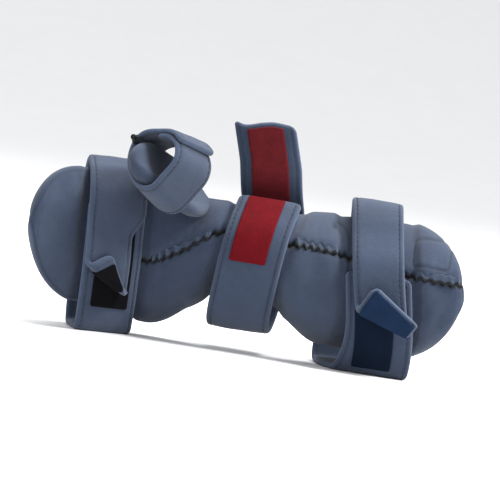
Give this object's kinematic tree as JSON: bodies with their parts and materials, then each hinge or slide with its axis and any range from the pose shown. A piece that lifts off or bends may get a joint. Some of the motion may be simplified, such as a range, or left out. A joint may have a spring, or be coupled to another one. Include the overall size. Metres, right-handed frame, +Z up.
{
  "type": "resting hand splint",
  "caption": "Padded resting splint for a right hand: a bent fabric-covered pan with a thumb rest, held by four soft hook-and-loop straps.",
  "frame": {"origin": "middle of the splint's box, on the surface that it lies on", "axes": "+X from the fingers to the forearm, +Y from the palm side to the back of the hand, +Z up, from the little-finger edge to the thumb"},
  "size_m": [0.3266, 0.1254, 0.1754],
  "materials": {
    "cover_fabric": "matt brushed knit over foam",
    "strap_fabric": "matt brushed knit over thin foam",
    "black_hook": "matt hook tape",
    "bright_red_hook": "matt hook tape",
    "dark_red_loop": "matt loop tape",
    "navy_hook": "matt hook tape",
    "white_label": "smooth woven ribbon"
  },
  "bodies": {
    "root": {"padded_pan": "cover_fabric", "seam_ruffle_palm": "cover_fabric", "seam_ruffle_forearm": "cover_fabric", "seam_ruffle_end": "cover_fabric", "finger_strap": "strap_fabric", "finger_hook_patch": "black_hook", "finger_end_patch": "black_hook", "thumb_strap": "strap_fabric", "wrist_strap": "strap_fabric", "wrist_hook_patch": "bright_red_hook", "wrist_end_patch": "dark_red_loop", "forearm_strap": "strap_fabric", "forearm_hook_patch": "navy_hook", "forearm_end_patch": "navy_hook", "care_label": "white_label"}
  },
  "joints": []
}
